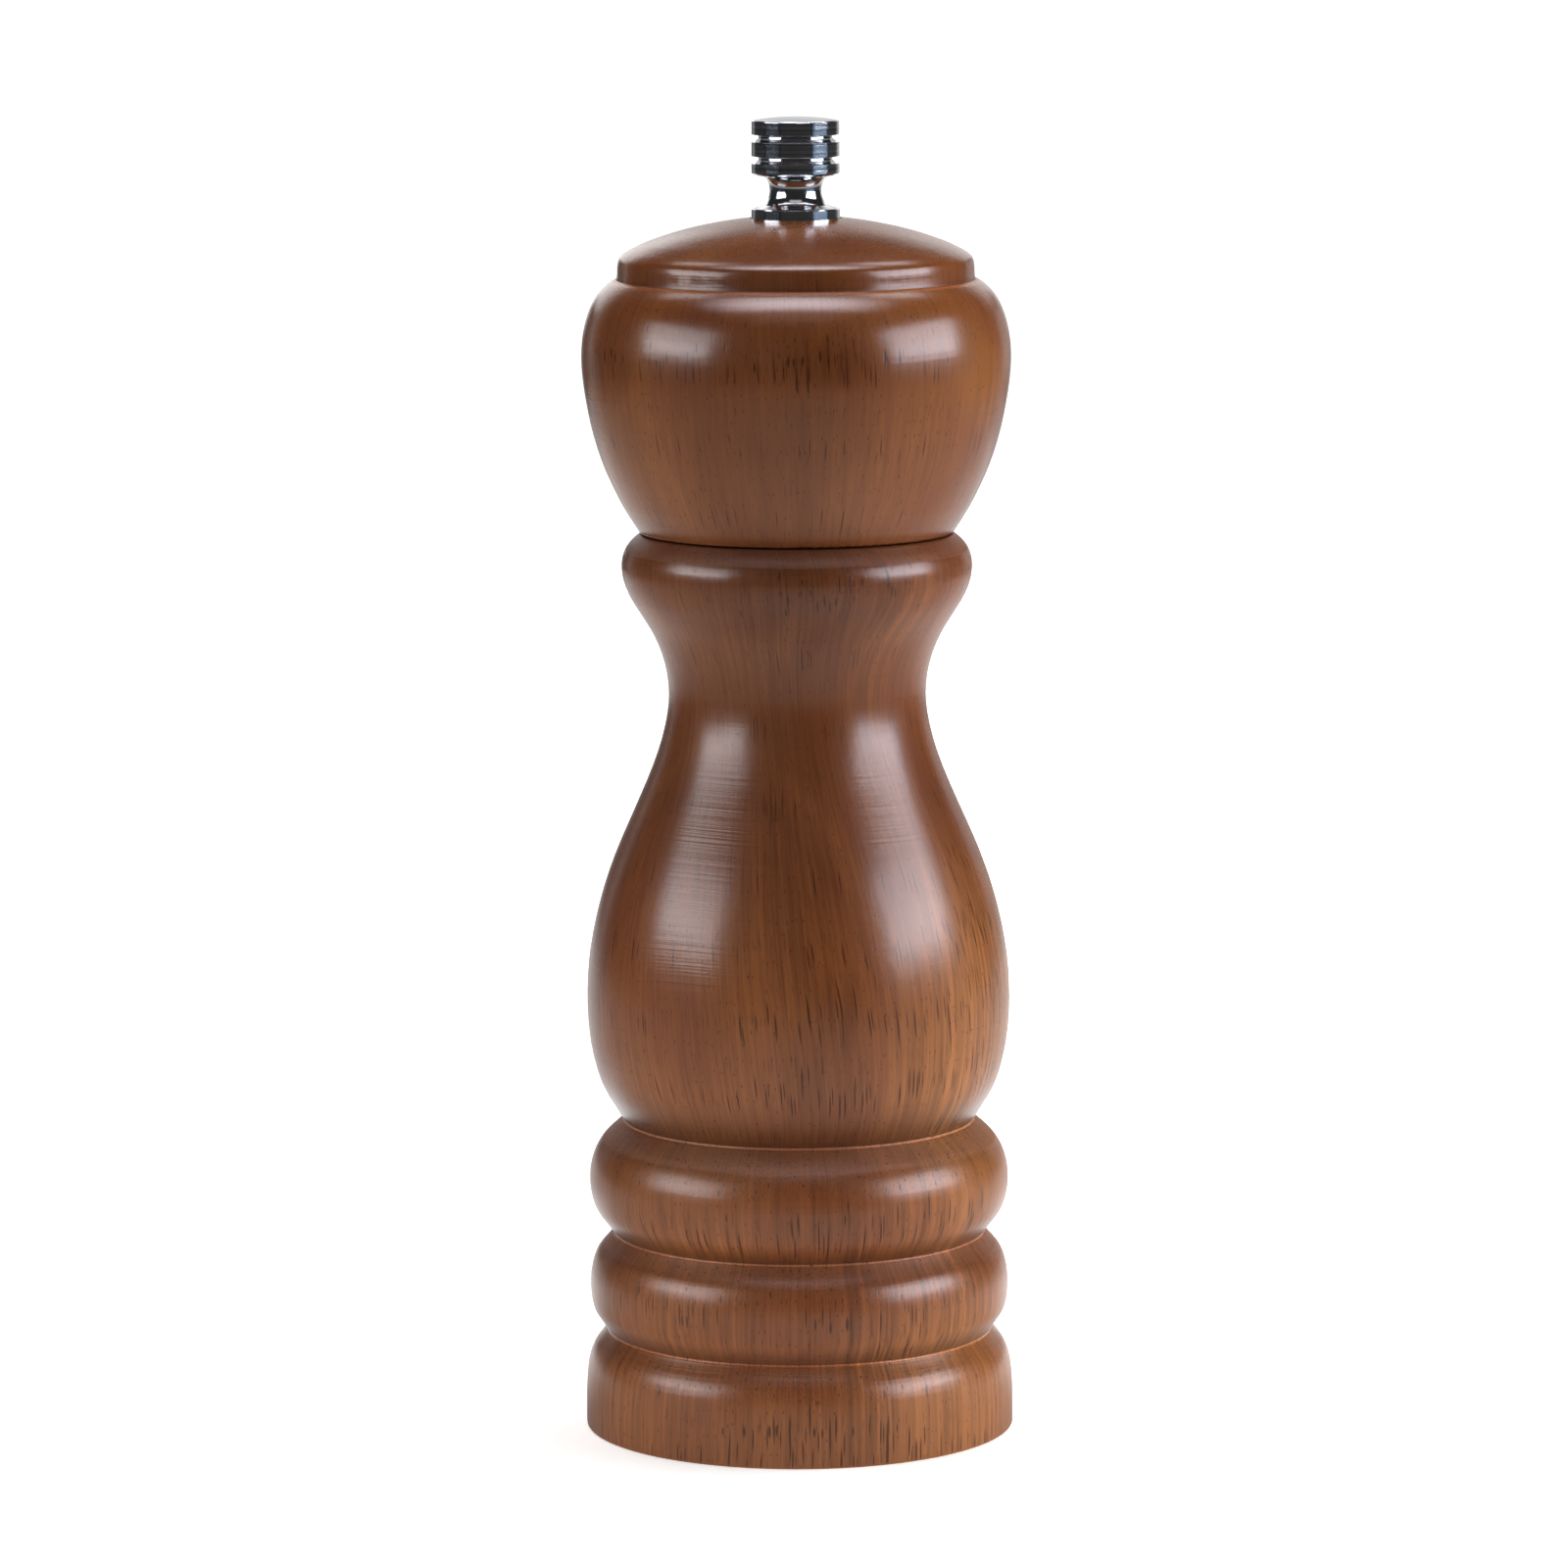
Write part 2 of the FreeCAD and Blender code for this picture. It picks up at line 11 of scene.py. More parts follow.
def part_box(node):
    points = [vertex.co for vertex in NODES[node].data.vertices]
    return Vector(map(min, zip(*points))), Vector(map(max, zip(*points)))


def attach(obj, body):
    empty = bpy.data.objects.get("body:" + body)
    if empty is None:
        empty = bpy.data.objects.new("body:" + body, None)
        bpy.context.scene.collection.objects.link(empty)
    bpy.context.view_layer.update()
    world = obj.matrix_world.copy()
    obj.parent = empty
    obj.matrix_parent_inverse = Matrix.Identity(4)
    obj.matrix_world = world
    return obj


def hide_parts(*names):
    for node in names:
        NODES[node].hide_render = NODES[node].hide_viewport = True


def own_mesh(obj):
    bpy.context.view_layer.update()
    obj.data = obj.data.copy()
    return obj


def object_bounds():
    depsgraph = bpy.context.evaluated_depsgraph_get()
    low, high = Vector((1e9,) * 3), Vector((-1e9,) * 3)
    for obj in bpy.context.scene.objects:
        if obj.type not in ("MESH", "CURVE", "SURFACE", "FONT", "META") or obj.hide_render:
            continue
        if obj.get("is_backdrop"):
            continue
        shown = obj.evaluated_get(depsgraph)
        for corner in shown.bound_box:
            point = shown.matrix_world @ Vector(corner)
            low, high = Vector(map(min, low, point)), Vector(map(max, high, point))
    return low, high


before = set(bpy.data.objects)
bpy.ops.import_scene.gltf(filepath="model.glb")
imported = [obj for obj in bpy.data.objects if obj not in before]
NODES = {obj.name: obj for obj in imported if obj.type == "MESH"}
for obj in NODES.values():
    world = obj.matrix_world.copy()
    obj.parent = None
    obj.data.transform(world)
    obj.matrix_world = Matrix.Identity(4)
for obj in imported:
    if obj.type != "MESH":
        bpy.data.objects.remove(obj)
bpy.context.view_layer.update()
scene = bpy.context.scene


# --------------------------------------------------------------------- helpers
class Graph:
    """A material's node tree, built in a few words a node. Lengths inside are
    millimetres: p is the object's own position times 1000."""

    def __init__(self, name):
        self.mat = bpy.data.materials.new(name)
        self.mat.use_nodes = True
        self.tree = self.mat.node_tree
        self.tree.nodes.clear()
        self.out = self.tree.nodes.new("ShaderNodeOutputMaterial")
        coord = self.tree.nodes.new("ShaderNodeTexCoord")
        self.p = self.vec("SCALE", coord.outputs["Object"], scale=1000.0)
        self._xyz = None

    def set(self, socket, value):
        if isinstance(value, bpy.types.NodeSocket):
            self.tree.links.new(value, socket)
        elif isinstance(value, (tuple, list)) and len(value) == 3 and socket.type == "RGBA":
            socket.default_value = (*value, 1.0)
        else:
            socket.default_value = value

    def put(self, kind, inputs=None, **props):
        n = self.tree.nodes.new(kind)
        for k, v in props.items():
            setattr(n, k, v)
        for k, v in (inputs or {}).items():
            self.set(n.inputs[k], v)
        return n

    def vec(self, op, a, b=None, scale=None):
        n = self.tree.nodes.new("ShaderNodeVectorMath")
        n.operation = op
        self.set(n.inputs[0], a)
        if b is not None:
            self.set(n.inputs[1], b)
        if scale is not None:
            self.set(n.inputs["Scale"], scale)
        return n.outputs["Value"] if op in ("LENGTH", "DOT_PRODUCT", "DISTANCE") else n.outputs["Vector"]

    def m(self, op, a, b=None, c=None, clamp=False):
        n = self.tree.nodes.new("ShaderNodeMath")
        n.operation = op
        n.use_clamp = clamp
        for i, v in enumerate((a, b, c)):
            if v is not None:
                self.set(n.inputs[i], v)
        return n.outputs[0]

    def add(self, a, b):
        return self.m("ADD", a, b)

    def mul(self, a, b):
        return self.m("MULTIPLY", a, b)

    def xyz(self, v=None):
        if v is None:
            if self._xyz is None:
                self._xyz = self.put("ShaderNodeSeparateXYZ", {0: self.p}).outputs
            return self._xyz
        return self.put("ShaderNodeSeparateXYZ", {0: v}).outputs

    def join(self, x, y, z):
        return self.put("ShaderNodeCombineXYZ", {0: x, 1: y, 2: z}).outputs[0]

    def step(self, v, a, b, lo=0.0, hi=1.0):
        """Smooth step from lo at a to hi at b."""
        n = self.put("ShaderNodeMapRange", {"Value": v, "From Min": a, "From Max": b, "To Min": lo, "To Max": hi}, interpolation_type="SMOOTHSTEP")
        return n.outputs["Result"]

    def line(self, v, a, b, lo=0.0, hi=1.0):
        n = self.put("ShaderNodeMapRange", {"Value": v, "From Min": a, "From Max": b, "To Min": lo, "To Max": hi}, clamp=True)
        return n.outputs["Result"]

    def noise(self, v, scale=1.0, detail=2.0, rough=0.5, dims="3D", w=0.0, colour=False, distort=0.0):
        ins = {"Scale": scale, "Detail": detail, "Roughness": rough, "Distortion": distort}
        if dims != "1D":
            ins["Vector"] = v
        if dims in ("1D", "4D"):
            ins["W"] = v if dims == "1D" else w
        n = self.put("ShaderNodeTexNoise", None, noise_dimensions=dims)
        for k, val in ins.items():
            self.set(n.inputs[k], val)
        return n.outputs["Color" if colour else 0]

    def voronoi(self, v, scale=1.0, dims="3D", rand=1.0, feature="F1"):
        n = self.put("ShaderNodeTexVoronoi", None, voronoi_dimensions=dims, feature=feature)
        self.set(n.inputs["Vector"], v)
        self.set(n.inputs["Scale"], scale)
        self.set(n.inputs["Randomness"], rand)
        return n.outputs

    def mix(self, f, a, b, blend="MIX"):
        n = self.put("ShaderNodeMix", None, data_type="RGBA", blend_type=blend)
        self.set(n.inputs[0], f)
        self.set(n.inputs[6], a)
        self.set(n.inputs[7], b)
        return n.outputs[2]

    def grey(self, v):
        return self.put("ShaderNodeCombineColor", {0: v, 1: v, 2: v}).outputs[0]

    def bump(self, height_mm, strength=1.0, normal=None):
        n = self.put("ShaderNodeBump", {"Strength": strength, "Distance": 0.001, "Height": height_mm})
        if normal is not None:
            self.set(n.inputs["Normal"], normal)
        return n.outputs[0]

    def principled(self, **kw):
        n = self.tree.nodes.new("ShaderNodeBsdfPrincipled")
        for k, v in kw.items():
            self.set(n.inputs[k.replace("_", " ")], v)
        self.tree.links.new(n.outputs[0], self.out.inputs[0])
        return n


# -------------------------------------------------------------------- wood
def vessels(g, across, qz, scale, radii, run, crowd, threshold, shift, w):
    """Upright tubes in the wood: where they are across the grain, and where each
    one opens and closes along it. Gives 0 to 1."""
    cells = g.voronoi(across, scale=scale, dims="2D")
    size = g.line(g.xyz(cells["Color"])[0], 0.0, 1.0, radii[0] * scale, radii[1] * scale)
    tube = g.step(g.m("DIVIDE", cells["Distance"], size), 1.0, 0.55)
    place = g.vec("ADD", g.vec("MULTIPLY", cells["Position"], (shift, shift, 0.0)), g.join(0.0, 0.0, g.mul(qz, run)))
    gate = g.noise(place, detail=1.0, dims="4D", w=w)
    return g.mul(tube, g.step(g.add(gate, crowd), threshold, threshold + 0.07))


def dashes(g, girth, z, size, thickness, share, shift):
    """Vessels opened along their length on the turned sides: slim upright
    dashes. size is a cell's width and height in millimetres, thickness the
    range of half widths as a share of the cell, share how many cells have one."""
    place = g.join(g.add(g.m("DIVIDE", girth, size[0]), shift), g.m("DIVIDE", z, size[1]), 0.0)
    cells = g.voronoi(place, dims="2D", rand=0.9)
    random = g.xyz(cells["Color"])
    width = g.line(random[0], 0.0, 1.0, thickness[0], thickness[1])
    mark = g.step(g.m("DIVIDE", cells["Distance"], width), 1.0, 0.45)
    return g.mul(mark, g.step(g.m("SUBTRACT", share, random[1]), 0.0, 0.10))


def spots(g, places):
    """The strongest of several soft-edged places: (x, y, z, width, height, depth)."""
    value = None
    for sx, sy, sz, wx, wz, depth in places:
        away = g.vec("LENGTH", g.vec("MULTIPLY", g.vec("SUBTRACT", g.p, (sx, sy, sz)), (1.0 / wx, 1.0 / wx, 1.0 / wz)))
        one = g.step(away, 1.0, 0.25, 0.0, depth)
        value = one if value is None else g.m("MAXIMUM", value, one)
    return value


def bands(g, z, places):
    """The strongest of several soft-edged bands of height: (low, high, edge, depth)."""
    value = None
    for low, high, edge, depth in places:
        one = g.mul(g.step(z, low - edge, low), g.step(z, high + edge, high, 0.0, depth))
        value = one if value is None else g.m("MAXIMUM", value, one)
    return value


def stained_wood(name, pith, seed, figure, slant, gloss, sparse, grain, fine, bold, short, smudge, crowded, lined, amber_and_painted_light, dark_wood_and_painted_shade, turning, brows, worn, quirks, raw):
    """Solid turned hardwood, grain along Z, stained brown under satin lacquer.
    Everything is a function of the place in the block, so streaks on upright
    faces run out into pores on the faces that cut across the grain: brows are
    the heights of those faces, worn the parts of them left dull. Just above each
    of the quirks the colour is darkened as painted shade, and the edge under it
    is lightened as a painted highlight. raw(g, x, y, z, radius) gives the
    places inside that were never stained."""
    g = Graph(name)
    x, y, z = g.xyz()
    radius = g.vec("LENGTH", g.join(x, y, 0.0))

    # the grain leans a little, wanders slowly and waves
    rise = g.m("MAXIMUM", g.m("SUBTRACT", z, 44.0), 0.0)
    lean = g.mul(rise, g.step(x, 6.0, 18.0, slant, slant * 0.15))
    slow = g.noise(g.vec("MULTIPLY", g.p, (0.020, 0.020, 0.010)), detail=1.0, colour=True, dims="4D", w=seed)
    slow = g.vec("MULTIPLY", g.vec("SUBTRACT", slow, (0.5, 0.5, 0.5)), (2.6, 2.6, 0.0))
    wave = g.noise(g.vec("MULTIPLY", g.p, (0.13, 0.13, 0.060)), detail=1.5, colour=True, dims="4D", w=seed + 3.1)
    wave = g.vec("MULTIPLY", g.vec("SUBTRACT", wave, (0.5, 0.5, 0.5)), (0.55, 0.55, 0.0))
    q = g.vec("ADD", g.vec("ADD", g.p, g.join(lean, 0.0, 0.0)), g.vec("ADD", slow, wave))
    qx, qy, qz = g.xyz(q)
    across = g.join(qx, qy, 0.0)

    # growth rings round a pith outside the block
    ring = g.vec("LENGTH", g.vec("SUBTRACT", across, (pith[0], pith[1], 0.0)))
    band = g.noise(g.add(g.mul(ring, 0.11), seed), dims="1D", detail=2.0, rough=0.55)
    fine_band = g.noise(g.add(g.mul(ring, 0.80), seed * 2), dims="1D", detail=1.0, rough=0.5)
    patch = g.noise(g.vec("MULTIPLY", q, (0.045, 0.045, 0.020)), detail=2.0, dims="4D", w=seed + 7.7)

    # on the turned sides the fibres run straight up whatever the slope; across
    # the grain, on the dome and under the foot, they are seen end on
    side = g.mul(g.step(z, 149.5, 147.5), g.step(z, 0.05, 0.40))
    sheet = g.vec("ADD", g.vec("SCALE", g.vec("NORMALIZE", across), scale=22.0), g.join(0.0, 0.0, qz))
    sheet = g.vec("ADD", q, g.vec("SCALE", g.vec("SUBTRACT", sheet, q), scale=side))
    fibre = g.noise(g.vec("MULTIPLY", sheet, (3.3, 3.3, grain[1])), detail=3.0, rough=0.7, dims="4D", w=seed + 9.0)
    streak = g.noise(g.vec("MULTIPLY", sheet, (0.85, 0.85, 0.050)), detail=2.5, rough=0.6, dims="4D", w=seed + 12.0)

    # vessels, crowded in some layers and sparse in others
    crowd = g.add(g.mul(fine_band, 0.45), g.mul(g.noise(g.vec("MULTIPLY", q, (0.22, 0.22, 0.03)), detail=1.0, dims="4D", w=seed + 16.0), 0.55))
    crowd = g.step(crowd, 0.40, 0.62, 0.0, 0.12)
    brow = g.m("MAXIMUM", bands(g, z, brows), g.m("SUBTRACT", 1.0, side))
    crowd = g.add(crowd, g.add(spots(g, crowded), g.mul(brow, 0.09)))
    pore = vessels(g, across, qz, 0.80, (0.07, 0.17), 0.070, crowd, 0.510 + sparse, 8.0, seed + 20.0)
    middle_pore = vessels(g, across, qz, 1.60, (0.045, 0.10), 0.12, crowd, 0.500 + sparse * 0.6, 10.0, seed + 26.0)
    small = vessels(g, across, qz, 2.9, (0.035, 0.065), 0.22, crowd, 0.500, 13.0, seed + 31.0)
    seen = g.line(brow, 0.1, 1.0, 0.0, 1.0)
    pore, middle_pore, small = g.mul(pore, seen), g.mul(middle_pore, seen), g.mul(small, seen)

    # the same vessels cut lengthwise on the sides
    girth = g.add(g.mul(g.m("ARCTAN2", x, g.mul(y, -1.0)), 22.0), g.mul(rise, slant))
    bend = g.noise(g.join(g.mul(girth, 0.06), g.mul(z, 0.045), seed), detail=1.0)
    stray = g.noise(g.join(g.mul(girth, 0.45), g.mul(z, 0.16), seed + 4.0), detail=1.0)
    girth = g.add(girth, g.add(g.mul(bend, 1.6), g.mul(stray, 0.35)))
    upright = g.mul(side, g.line(brow, 0.0, 1.0, 1.0, 0.35))
    thin = g.mul(dashes(g, girth, z, (0.52, 9.0), (0.15, 0.28), g.add(fine[0], spots(g, fine[1])), seed), upright)
    thick = g.mul(dashes(g, girth, z, (1.05, 27.0), (0.10, 0.19), g.add(bold[0], spots(g, bold[1])), seed + 0.5), upright)
    brief = g.mul(dashes(g, girth, z, (0.80, 4.4), (0.15, 0.28), spots(g, short), seed + 0.25), side)
    thick = g.m("MAXIMUM", thick, brief)
    fleck = g.mul(dashes(g, girth, z, (0.62, 1.7), (0.09, 0.17), 0.42, seed + 0.75), upright)
    hair = g.mul(dashes(g, girth, z, (0.36, 5.0), (0.14, 0.26), 0.40, seed + 0.9), upright)

    # stain: close in tone, a little darker and lighter in bands; the warmer and darker patches are partly the wood's
    # own tone and partly painted light and shade
    tone = g.add(g.add(g.mul(band, 0.5 * figure), g.mul(patch, 0.5)), g.mul(fine_band, 0.05 * figure))
    middle = 0.25 * figure + 0.25 + 0.025 * figure
    dark, mid, amber = (0.134, 0.0372, 0.0112), (0.174, 0.0515, 0.0148), (0.210, 0.0675, 0.0180)
    colour = g.mix(g.step(tone, middle - 0.13, middle + 0.01), dark, mid)
    colour = g.mix(g.step(tone, middle - 0.01, middle + 0.14), colour, amber)
    # warmer, lighter patches: partly amber wood, partly painted light, mostly on the right side and the front
    colour = g.mix(spots(g, amber_and_painted_light), colour, (0.300, 0.1160, 0.0280))
    # darker patches: partly darker wood, partly painted shade under the head's overhang and down the left side
    colour = g.mix(spots(g, dark_wood_and_painted_shade), colour, (0.075, 0.0200, 0.0068))

    # growth lines, strongest where the block shows them edge on
    lines = g.noise(g.vec("MULTIPLY", sheet, (1.75, 1.75, 0.018)), detail=1.5, rough=0.55, dims="4D", w=seed + 18.0)
    broken = g.line(g.noise(g.vec("MULTIPLY", q, (0.5, 0.5, 0.10)), detail=1.0, dims="4D", w=seed + 14.0), 0.30, 0.65, 0.45, 1.0)
    edge_on = g.mul(g.add(spots(g, lined), 0.06), broken)
    shade = g.add(g.line(fibre, 0.32, 0.68, 1.0 - grain[0], 1.0 + grain[0]), g.line(streak, 0.3, 0.7, grain[0] * -0.4, grain[0] * 0.4))
    shade = g.add(shade, g.mul(g.line(lines, 0.36, 0.62, -1.0, 0.70), edge_on))
    colour = g.mix(1.0, colour, g.grey(shade), "MULTIPLY")
    smoke = g.m("MAXIMUM", g.step(streak, 0.60, 0.82, 0.0, grain[0]), g.mul(spots(g, smudge), g.step(streak, 0.40, 0.60)))
    colour = g.mix(smoke, colour, (0.062, 0.0165, 0.0040))
    colour = g.mix(g.mul(hair, 0.42), colour, (0.060, 0.0150, 0.0030))
    colour = g.mix(g.mul(fleck, 0.66), colour, (0.052, 0.0130, 0.0024))
    colour = g.mix(g.mul(thin, 0.90), colour, (0.056, 0.0140, 0.0024))
    colour = g.mix(g.mul(thick, 0.88), colour, (0.054, 0.0135, 0.0020))
    colour = g.mix(g.mul(small, 0.55), colour, (0.060, 0.0145, 0.0024))
    colour = g.mix(g.mul(middle_pore, 0.85), colour, (0.048, 0.0115, 0.0020))
    colour = g.mix(g.mul(pore, 0.88), colour, (0.040, 0.0100, 0.0018))

    # painted shade just above each quirk, and a painted highlight on the edge under it
    for at, reach, depth in quirks:
        painted_quirk_shade = g.mul(g.step(z, at - 0.04, at + 0.04), g.step(z, at + reach, at, 0.0, depth))
        # edge: the lip under the quirk lightened as a painted highlight
        edge = g.mul(g.step(z, at + 0.06, at - 0.03), g.step(z, at - 0.36, at - 0.20))
        tint = g.add(g.m("SUBTRACT", 1.0, painted_quirk_shade), g.mul(edge, 0.75))
        colour = g.mix(1.0, colour, g.grey(tint), "MULTIPLY")

    # unstained wood inside
    bare = raw(g, x, y, z, radius)
    pale = g.mix(g.step(band, 0.35, 0.65), (0.40, 0.235, 0.125), (0.50, 0.32, 0.185))
    pale = g.mix(1.0, pale, g.grey(shade), "MULTIPLY")
    pale = g.mix(g.mul(g.m("MAXIMUM", pore, middle_pore), 0.55), pale, (0.16, 0.075, 0.035))
    colour = g.mix(bare, colour, pale)

    # surface: pores sunk in the lacquer, tool rings, a soft orange peel
    drift = g.noise(g.vec("MULTIPLY", g.p, (0.05, 0.05, 0.05)), detail=0.0)
    turns = g.noise(g.add(g.mul(z, 1.5), g.mul(drift, 2.0)), dims="1D", detail=2.5, rough=0.7)
    turned = g.step(g.noise(g.vec("MULTIPLY", g.p, (0.09, 0.09, 0.14)), detail=2.0, dims="4D", w=seed + 40.0), 0.45, 0.60, 0.10, 0.6)
    turned = g.m("MAXIMUM", turned, spots(g, turning))
    peel = g.noise(g.p, scale=0.75, detail=1.0)
    height = g.add(g.mul(g.m("SUBTRACT", turns, 0.5), g.mul(turned, 0.026)), g.mul(peel, 0.012))
    height = g.m("SUBTRACT", height, g.add(g.mul(pore, 0.008), g.add(g.mul(middle_pore, 0.004), g.mul(small, 0.002))))
    height = g.m("SUBTRACT", height, g.add(g.mul(thick, 0.004), g.add(g.mul(thin, 0.002), g.mul(fleck, 0.005))))
    height = g.add(height, g.mul(fibre, g.line(bare, 0.0, 1.0, 0.0025, 0.03)))
    normal = g.bump(height)
    rough = g.add(g.line(patch, 0.3, 0.7, gloss - 0.012, gloss + 0.012), g.add(g.mul(pore, 0.05), g.mul(middle_pore, 0.03)))
    rough = g.add(rough, g.add(g.step(z, 39.8, 39.2, 0.0, 0.034), bands(g, z, worn)))
    rough = g.m("MAXIMUM", rough, g.mul(bare, 0.62))
    g.principled(Base_Color=colour, Roughness=rough, IOR=1.5, Normal=normal)
    return g.mat


def bare_in_body(g, x, y, z, radius):
    """The bore, the mechanism's seat and the recess under the foot."""
    bore = g.mul(g.step(radius, 13.75, 13.60), g.step(z, 103.0, 104.0))
    bore = g.m("MAXIMUM", bore, g.step(radius, 12.4, 12.2))
    seat = g.mul(g.step(radius, 16.05, 15.95), g.step(z, 33.6, 33.4))
    cup = g.mul(g.step(radius, 21.15, 21.05), g.step(z, 6.3, 6.15))
    return g.m("MAXIMUM", bore, g.m("MAXIMUM", seat, cup))


def bare_in_head(g, x, y, z, radius):
    """The tenon, and the hole through the head."""
    tenon = g.mul(g.step(radius, 13.8, 13.5), g.step(z, 113.72, 113.70))
    hole = g.mul(g.step(radius, 4.75, 4.65), g.step(z, 152.6, 152.4))
    return g.m("MAXIMUM", tenon, hole)


# -------------------------------------------------------------------- metals
def turned_metal(name, tint, rough, ring_depth, mottle=0.06, axis_lines=1.6):
    """Metal turned on a lathe: fine rings round Z and a slight unevenness."""
    g = Graph(name)
    x, y, z = g.xyz()
    radius = g.vec("LENGTH", g.join(x, y, 0.0))
    rings = g.noise(g.add(g.mul(z, axis_lines * 3.0), g.mul(radius, axis_lines * 3.0)), dims="1D", detail=4.0, rough=0.75)
    cloud = g.noise(g.p, scale=0.35, detail=3.0)
    dark = tuple(c * (1.0 - mottle) for c in tint)
    light = tuple(min(1.0, c * (1.0 + mottle)) for c in tint)
    colour = g.mix(g.step(cloud, 0.3, 0.7), dark, light)
    colour = g.mix(1.0, colour, g.grey(g.line(rings, 0.32, 0.68, 0.72, 1.16)), "MULTIPLY")
    r = g.add(g.line(rings, 0.25, 0.75, rough * 0.75, rough * 1.3), g.mul(cloud, rough * 0.3))
    normal = g.bump(g.mul(rings, ring_depth))
    g.principled(Base_Color=colour, Metallic=1.0, Roughness=r, Normal=normal)
    return g.mat


def drawn_steel(name, tint, rough, along=(1.0, 1.0, 0.03), grime=0.35, depth=0.006):
    """Drawn, pressed or plated steel: fine lines one way, clouding and a few
    darker marks."""
    g = Graph(name)
    lines = g.noise(g.vec("MULTIPLY", g.p, tuple(a * 7.0 for a in along)), detail=3.0, rough=0.7)
    cloud = g.noise(g.p, scale=0.28, detail=4.0, rough=0.6)
    spots = g.step(g.noise(g.p, scale=1.3, detail=2.0), 0.62, 0.74)
    colour = g.mix(g.step(cloud, 0.3, 0.7), tuple(c * 0.88 for c in tint), tuple(min(1.0, c * 1.08) for c in tint))
    colour = g.mix(g.mul(spots, grime), colour, tuple(c * 0.45 for c in tint))
    r = g.add(g.line(lines, 0.25, 0.75, rough * 0.8, rough * 1.25), g.mul(spots, 0.10))
    g.principled(Base_Color=colour, Metallic=1.0, Roughness=r, Normal=g.bump(g.mul(lines, depth)))
    return g.mat


def cast_zinc(name):
    g = Graph(name)
    grain = g.noise(g.p, scale=2.2, detail=4.0, rough=0.7)
    cloud = g.noise(g.p, scale=0.22, detail=3.0)
    colour = g.mix(g.step(cloud, 0.3, 0.7), (0.255, 0.262, 0.275), (0.36, 0.37, 0.385))
    colour = g.mix(g.step(grain, 0.55, 0.8, 0.0, 0.4), colour, (0.19, 0.19, 0.20))
    g.principled(Base_Color=colour, Metallic=1.0, Roughness=g.line(grain, 0.2, 0.8, 0.42, 0.62), Normal=g.bump(g.mul(grain, 0.05)))
    return g.mat


def hardened_steel(name):
    g = Graph(name)
    x, y, z = g.xyz()
    cloud = g.noise(g.p, scale=0.30, detail=4.0, rough=0.6)
    cut = g.noise(g.vec("MULTIPLY", g.p, (3.0, 3.0, 1.0)), detail=3.0, rough=0.7)
    colour = g.mix(g.step(cloud, 0.35, 0.65), (0.155, 0.152, 0.150), (0.29, 0.285, 0.28))
    dust = g.step(g.noise(g.p, scale=1.1, detail=5.0, rough=0.7), 0.56, 0.72, 0.0, 0.55)
    colour = g.mix(dust, colour, (0.12, 0.085, 0.055))
    metal = g.m("SUBTRACT", 1.0, g.mul(dust, 0.9))
    g.principled(Base_Color=colour, Metallic=metal, Roughness=g.line(cut, 0.25, 0.75, 0.26, 0.46), Normal=g.bump(g.mul(cut, 0.012)))
    return g.mat


def nylon(name):
    g = Graph(name)
    cloud = g.noise(g.p, scale=0.4, detail=3.0)
    fine = g.noise(g.p, scale=4.0, detail=2.0)
    colour = g.mix(g.step(cloud, 0.3, 0.7), (0.70, 0.67, 0.58), (0.80, 0.78, 0.71))
    g.principled(Base_Color=colour, Roughness=g.line(fine, 0.3, 0.7, 0.38, 0.5), Subsurface_Weight=0.15, Normal=g.bump(g.mul(fine, 0.006)))
    return g.mat


